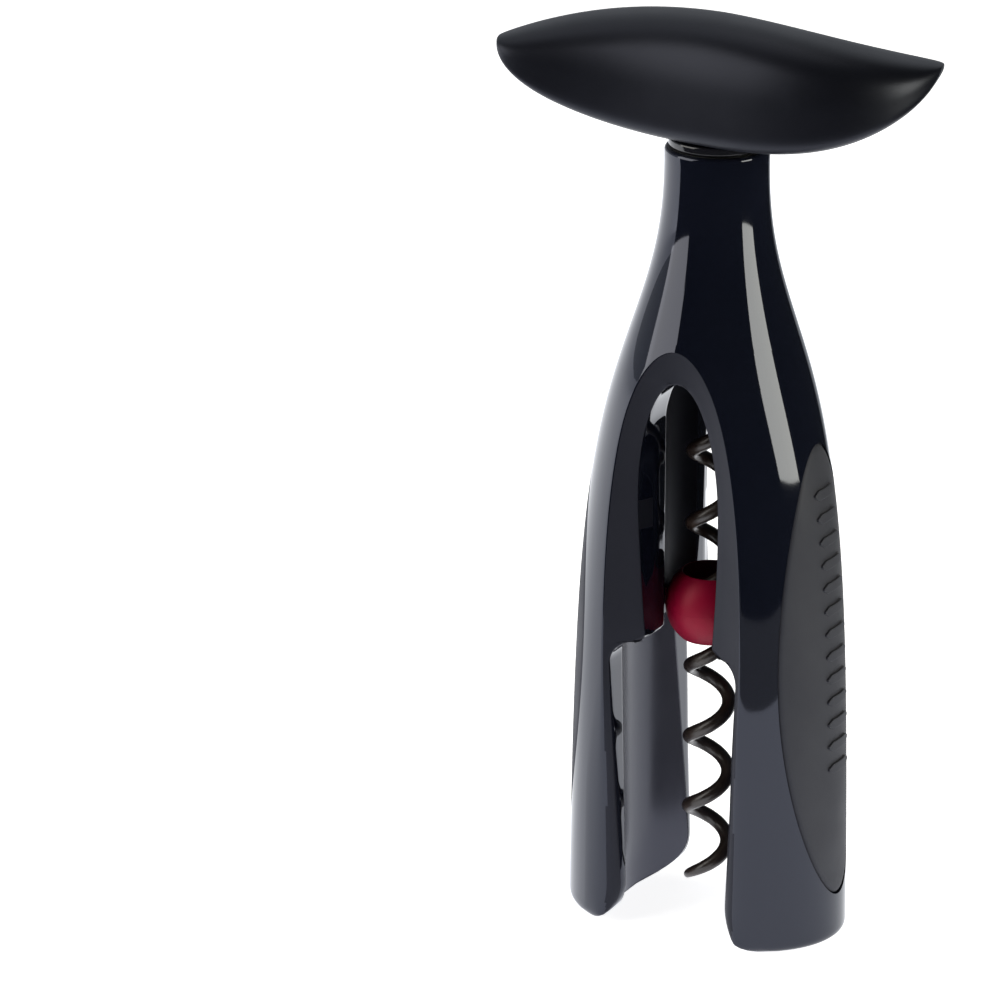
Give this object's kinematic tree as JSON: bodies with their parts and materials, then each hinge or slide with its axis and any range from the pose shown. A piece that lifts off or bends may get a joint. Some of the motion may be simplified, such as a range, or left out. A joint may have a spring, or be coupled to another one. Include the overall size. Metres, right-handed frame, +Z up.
{
  "type": "self-pulling corkscrew",
  "caption": "Two-legged self-pulling corkscrew with an S-shaped turn handle, a long coated worm and a red ball nut held between the legs.",
  "frame": {"origin": "on the worm's axis, level with the leg ends that the corkscrew stands on", "axes": "+Z up along the worm's axis, +X towards the right leg, the arched openings face -Y and +Y"},
  "size_m": [0.0754, 0.0312, 0.1647],
  "materials": {
    "body_gloss": "polished, very dark navy black",
    "pad_rubber": "matte dark grey",
    "carrier_plastic": "plain moulded",
    "seat_rubber": "matte",
    "bush_plastic": "black acetal",
    "steel": "bright",
    "hub_gloss": "polished black",
    "core_plastic": "plain moulded",
    "soft_touch": "soft-touch matte black",
    "worm_coating": "satin non-stick coating, dark brown black",
    "socket_brass": "turned",
    "ball_red": "satin crimson",
    "nut_red": "plain moulded, dark red"
  },
  "bodies": {
    "frame": {"body_shell": "body_gloss", "grip_pad_right": "pad_rubber", "grip_pad_left": "pad_rubber", "pad_carrier_right": "carrier_plastic", "pad_carrier_left": "carrier_plastic", "bottle_seat": "seat_rubber", "neck_bush_upper": "bush_plastic", "neck_bush_lower": "bush_plastic"},
    "lift_race": {"thrust_washer": "bush_plastic"},
    "turn_race": {"slip_washer": "steel"},
    "handle": {"handle_hub": "hub_gloss", "handle_core": "core_plastic", "handle_grip": "soft_touch", "hub_screws": "steel", "worm": "worm_coating", "worm_socket": "socket_brass", "worm_pin": "steel", "washer_clip": "steel"},
    "ball": {"ball_upper": "ball_red", "ball_lower": "ball_red", "ball_nut": "nut_red"}
  },
  "joints": [
    {"name": "handle_lift", "type": "slide", "parent": "frame", "child": "lift_race", "axis": [0, 0, 1], "range_m": [0, 0.043]},
    {"name": "unscrew_turn", "type": "hinge", "parent": "lift_race", "child": "turn_race", "pos_m": [0, 0, 0.1428], "axis": [0, 0, 1], "range_deg": [0, 1156]},
    {"name": "pull_turn", "type": "hinge", "parent": "turn_race", "child": "handle", "pos_m": [0, 0, 0.144], "axis": [0, 0, 1], "range_deg": [-1021, 0]},
    {"name": "ball_rise", "type": "slide", "parent": "frame", "child": "ball", "axis": [0, 0, 1], "range_m": [0, 0.038]}
  ],
  "couplings": [
    {"joint": "unscrew_turn", "follows": "handle_lift", "rad_per_m": 468.89},
    {"joint": "pull_turn", "follows": "ball_rise", "rad_per_m": -468.89}
  ]
}
